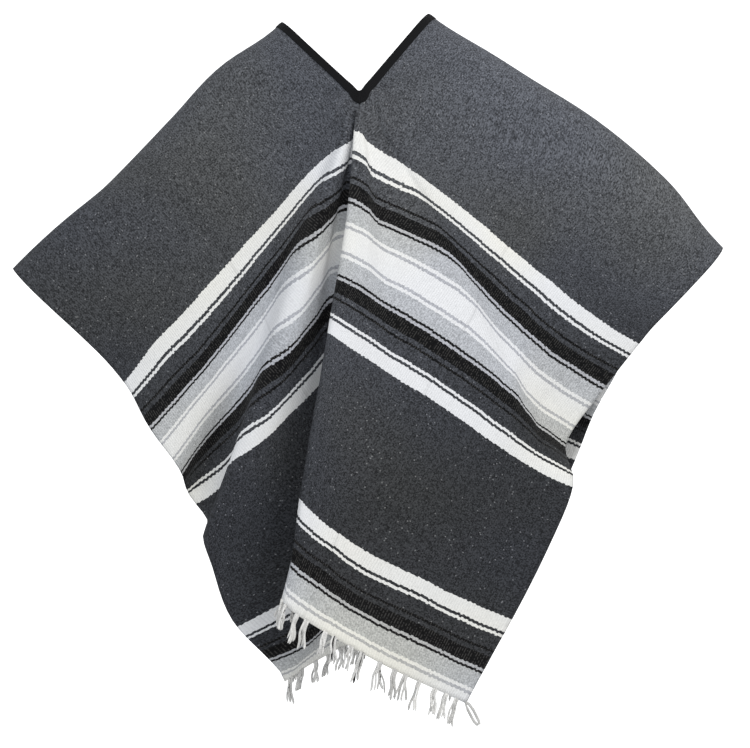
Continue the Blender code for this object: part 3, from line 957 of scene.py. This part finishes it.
class PONCHO_OT_tape(bpy.types.Operator):
    """Bind the neck slit with tape"""

    bl_idname = "poncho.tape"
    bl_label = "Neck tape"

    def execute(self, context):
        sizes = context.scene.poncho_tape
        piece = finish_piece(sew_tape(sizes), "neck_tape", tape_material(sizes), ("neck_binding",))
        wall = piece.modifiers.new("thickness", "SOLIDIFY")
        wall.thickness = 0.0006
        wall.offset = 0.0
        return {"FINISHED"}


def yarn_path(root, along_cloth, lean, length, phase, swing):
    """Points of one yarn: out of the hem along the cloth, then hanging down, wound round its lock."""
    steps = 11
    winding = 6.5
    points = []
    place = root.copy()
    for i in range(steps + 1):
        share = i / steps
        turn = phase + winding * share
        points.append(place + Vector((cos(turn), sin(turn), 0.0)) * swing * ease(0.05, 0.5, share))
        heading = along_cloth.lerp(Vector((lean.x, lean.y, -1.0)), ease(0.0, 0.35, share)).normalized()
        place = place + heading * length / steps
    return points


def add_yarn(fringe, points, radius, shade, layers):
    """A thin tube along the points, tapered at its tip."""
    sides = 5
    tip_taper = 0.45
    colour_layer, uv_layer = layers
    made = bmesh.ops.create_circle(fringe, cap_ends=True, radius=radius, segments=sides)
    ring = made["verts"]
    face = ring[0].link_faces[0]
    start = points[1] - points[0]
    turn = start.to_track_quat("Z", "Y")
    for vert in ring:
        vert.co = points[0] + turn @ vert.co
    before = start
    made_faces = [face]
    for i, place in enumerate(points[1:], 1):
        out = bmesh.ops.extrude_face_region(fringe, geom=[face])
        face = next(item for item in out["geom"] if isinstance(item, bmesh.types.BMFace))
        verts = [item for item in out["geom"] if isinstance(item, bmesh.types.BMVert)]
        heading = points[min(i + 1, len(points) - 1)] - points[i - 1]
        bend = before.rotation_difference(heading)
        taper = tip_taper if i == len(points) - 1 else 1.0
        for vert in verts:
            vert.co = place + bend @ (vert.co - points[i - 1]) * taper
        before = heading
        made_faces.append(face)
        made_faces += [linked for vert in verts for linked in vert.link_faces]
    for made_face in set(made_faces):
        for loop in made_face.loops:
            loop[colour_layer] = (shade, shade, shade, 1.0)
            loop[uv_layer].uv = (0.0, (loop.vert.co - points[0]).length)


def corner_loop(root):
    """Points of the loop that the last yarn makes at the front's right corner."""
    run = [(0.0, 0.0), (0.006, -0.004), (0.012, -0.012), (0.017, -0.022), (0.021, -0.030), (0.022, -0.034)]
    back = [(0.019, -0.036), (0.014, -0.031), (0.009, -0.022), (0.004, -0.012), (0.000, -0.002)]
    return [root + Vector((x, -0.002, z)) for x, z in run + back]


def knot_fringe(table, half, sizes, seed):
    """All the locks of one hem, each a few loose yarns that leave the hem together."""
    scatter = 0.26
    lock_lengths, yarn_lengths, radii = (0.78, 1.08), (0.86, 1.04), (0.8, 1.3)
    sway_across, sway_out, unruly = (-0.34, 0.04), 0.06, 0.05
    dark_chance, dark_shade, light_shades = 0.08, 0.1, (0.84, 1.0)
    open_chance, opened, closed = 0.2, 0.26, 0.09
    half_lock, edge = 0.0024, HALF_WIDTH - 0.002
    root_down, above_down, root_scatter = PANEL_LENGTH - 0.0015, PANEL_LENGTH - 0.012, 0.0006
    chance = random.Random(seed)
    fringe = bmesh.new()
    layers = (fringe.loops.layers.color.new("shade"), fringe.loops.layers.uv.verify())
    pitch = CLOTH_WIDTH / sizes.locks
    for k in range(sizes.locks):
        middle = -HALF_WIDTH + (k + 0.5 + scatter * chance.uniform(-1, 1)) * pitch
        lock_length = sizes.length * chance.uniform(*lock_lengths)
        sway = Vector((chance.uniform(*sway_across), chance.uniform(-sway_out, sway_out), 0.0))
        yarns = sizes.yarns + chance.choice((-1, 0, 0, 1))
        dark_yarn = chance.randrange(yarns) if chance.random() < dark_chance else -1
        parted = opened if chance.random() < open_chance else closed
        for n in range(yarns):
            side = 2 * n / max(yarns - 1, 1) - 1
            across = min(max(middle + side * half_lock, -edge), edge)
            root, normal = surface_frame(table, across, root_down)
            above, _ = surface_frame(table, across, above_down)
            root = root + normal * chance.uniform(-root_scatter, root_scatter)
            along = (root - above).normalized()
            own_lean = side * parted + chance.uniform(-unruly, unruly)
            lean = sway + Vector((own_lean, chance.uniform(-sway_out, sway_out), 0.0))
            swing = chance.uniform(0.0006, 0.0018)
            length = lock_length * chance.uniform(*yarn_lengths)
            points = yarn_path(root, along, lean, length, chance.uniform(0, 6), swing)
            shade = dark_shade if n == dark_yarn else chance.uniform(*light_shades)
            add_yarn(fringe, points, sizes.yarn_radius * chance.uniform(*radii), shade, layers)
    if half == "front":
        corner, _ = surface_frame(table, edge, PANEL_LENGTH - 0.002)
        add_yarn(fringe, corner_loop(corner), 1.5 * sizes.yarn_radius, 0.85, layers)
    bmesh.ops.recalc_face_normals(fringe, faces=fringe.faces)
    return fringe


def yarn_material(colours):
    """Loose undyed yarn, with its twist and a few darker ones."""
    twist_pitch = 0.003
    material, tree, shader = new_material("fringe_yarn", roughness=0.95)
    _, along = cloth_coordinates(tree)
    shade = add_node(tree, "ShaderNodeVertexColor", {}, "Color", layer_name="shade")
    colour = mix_colour(tree, "MULTIPLY", 1.0, tuple(colours.white), shade)
    fuzz = noise_node(tree, add_node(tree, "ShaderNodeTexCoord", {}, "Object"), scale=700.0)
    twist = (along * (2 * pi / twist_pitch)).math("SINE")
    raise_surface(tree, shader, twist * 0.4 + fuzz, strength=0.5, distance=0.0006)
    feed(tree, shader.inputs["Base Color"], shaded(colour, fuzz * 0.4 + 0.82))
    shader.inputs["Sheen Weight"].default_value = 0.1
    shader.inputs["Specular IOR Level"].default_value = 0.15
    return material


class PONCHO_OT_fringe(bpy.types.Operator):
    """Leave the locks of the fringe hanging from both hems"""

    bl_idname = "poncho.fringe"
    bl_label = "Fringe"

    def execute(self, context):
        sizes = context.scene.poncho_fringe
        material = yarn_material(context.scene.poncho_colours)
        for table, half, seed in ((FRONT, "front", 11), (BACK, "back", 23)):
            fringe = knot_fringe(table, half, sizes, seed)
            piece = finish_piece(fringe, "fringe_locks_" + half, material, ("fringe_" + half,))
        return {"FINISHED"}


# The stage: the floor, the backdrop behind it, the light from all round and the point that is lit
FLOOR_SIZE = 2.6
FLOOR_COLOUR = (0.85, 0.85, 0.84)
BACKDROP_SIZE = 12.6
BACKDROP_BEHIND = 6.6
BACKDROP_COLOUR = (0.9, 0.9, 0.9)
BACKDROP_GLOW = 0.8
SKY_COLOUR = (0.96, 0.98, 1.0, 1.0)
SKY_STRENGTH = 0.62
LIT_POINT = (0.0, 0.0, -0.5)
# Each lamp's name, place, size, power and colour
LAMPS = (
    ("key", (1.5, -2.5, 1.5), 1.6, 62.0, (1.0, 0.99, 0.965)),
    ("fill", (-2.6, -2.4, 0.6), 2.0, 22.0, (0.90, 0.945, 1.0)),
)
CAMERA_ACROSS = 0.0297
CAMERA_HEIGHT = -0.5825


class PonchoStageSettings(bpy.types.PropertyGroup):
    view_distance: FloatProperty(
        name="Camera distance",
        description="Distance from the camera to the plane of the shoulders",
        default=3.5,
        subtype="DISTANCE",
        unit="LENGTH",
    )
    view_angle: FloatProperty(
        name="Camera angle",
        description="Width of the camera's view",
        default=radians(20.05),
        subtype="ANGLE",
        unit="ROTATION",
    )
    floor_drop: FloatProperty(
        name="Floor drop",
        description="How far the floor lies below the shoulders",
        default=1.45,
        subtype="DISTANCE",
        unit="LENGTH",
    )


def plain_material(name, colour, strength=0.0):
    material, _, shader = new_material(name, roughness=0.9)
    shader.inputs["Base Color"].default_value = (*colour, 1.0)
    shader.inputs["Emission Color"].default_value = (1.0, 1.0, 1.0, 1.0)
    shader.inputs["Emission Strength"].default_value = strength
    return material


def add_plane(name, size, material):
    plane = bmesh.new()
    bmesh.ops.create_grid(plane, x_segments=1, y_segments=1, size=size / 2)
    placed = add_mesh(name, plane, material)
    return placed


def add_lamp(name, place, size, power, colour):
    data = bpy.data.lights.new(name, "AREA")
    data.shape = "DISK"
    data.size = size
    data.energy = power
    data.color = colour
    lamp = add_object(name, data)
    lamp.location = place
    lamp.rotation_euler = (Vector(LIT_POINT) - Vector(place)).to_track_quat("-Z", "Y").to_euler()


class PONCHO_OT_stage(bpy.types.Operator):
    """Set up the floor, the backdrop, the lights and the camera"""

    bl_idname = "poncho.stage"
    bl_label = "Stage"

    def execute(self, context):
        scene = context.scene
        settings = scene.poncho_stage
        floor = add_plane("floor", FLOOR_SIZE, plain_material("pale_floor", FLOOR_COLOUR))
        floor.location.z = -settings.floor_drop
        white = plain_material("white_backdrop", BACKDROP_COLOUR, BACKDROP_GLOW)
        backdrop = add_plane("backdrop", BACKDROP_SIZE, white)
        backdrop.rotation_euler.x = radians(90)
        backdrop.location = (0.0, BACKDROP_BEHIND, 0.0)

        world = bpy.data.worlds.new("studio")
        world.use_nodes = True
        world.node_tree.nodes["Background"].inputs["Color"].default_value = SKY_COLOUR
        world.node_tree.nodes["Background"].inputs["Strength"].default_value = SKY_STRENGTH
        scene.world = world
        for lamp in LAMPS:
            add_lamp(*lamp)

        data = bpy.data.cameras.new("camera")
        data.angle = settings.view_angle
        data.clip_end = 50.0
        camera = add_object("camera", data)
        camera.location = (CAMERA_ACROSS, -settings.view_distance, CAMERA_HEIGHT)
        camera.rotation_euler = (radians(90), 0.0, 0.0)
        scene.camera = camera
        scene.view_settings.view_transform = "Standard"
        return {"FINISHED"}


class PONCHO_PT_panel(bpy.types.Panel):
    """The poncho's pieces, in the order they are made"""

    bl_label = "Poncho"
    bl_idname = "PONCHO_PT_panel"
    bl_space_type = "VIEW_3D"
    bl_region_type = "UI"
    bl_category = "Poncho"

    def draw(self, context):
        layout = self.layout
        scene = context.scene
        for operator, group in (
            ("poncho.tape", scene.poncho_tape),
            ("poncho.fringe", scene.poncho_fringe),
            ("poncho.blanket", scene.poncho_blanket),
            ("poncho.stage", scene.poncho_stage),
        ):
            box = layout.box()
            for name in group.__annotations__:
                box.prop(group, name)
            box.operator(operator)


GROUPS = {
    "poncho_blanket": PonchoBlanketSizes,
    "poncho_colours": PonchoYarnColours,
    "poncho_tape": PonchoTapeSizes,
    "poncho_fringe": PonchoFringeSizes,
    "poncho_stage": PonchoStageSettings,
}
OPERATORS = (PONCHO_OT_tape, PONCHO_OT_fringe, PONCHO_OT_blanket, PONCHO_OT_stage)


def register():
    for name, group in GROUPS.items():
        bpy.utils.register_class(group)
        setattr(bpy.types.Scene, name, PointerProperty(type=group))
    for operator in OPERATORS:
        bpy.utils.register_class(operator)
    bpy.utils.register_class(PONCHO_PT_panel)


def unregister():
    bpy.utils.unregister_class(PONCHO_PT_panel)
    for operator in reversed(OPERATORS):
        bpy.utils.unregister_class(operator)
    for name, group in reversed(GROUPS.items()):
        delattr(bpy.types.Scene, name)
        bpy.utils.unregister_class(group)


def main():
    register()
    bpy.ops.poncho.tape()
    bpy.ops.poncho.fringe()
    bpy.ops.poncho.blanket()
    bpy.ops.poncho.stage()


if __name__ == "__main__":
    main()
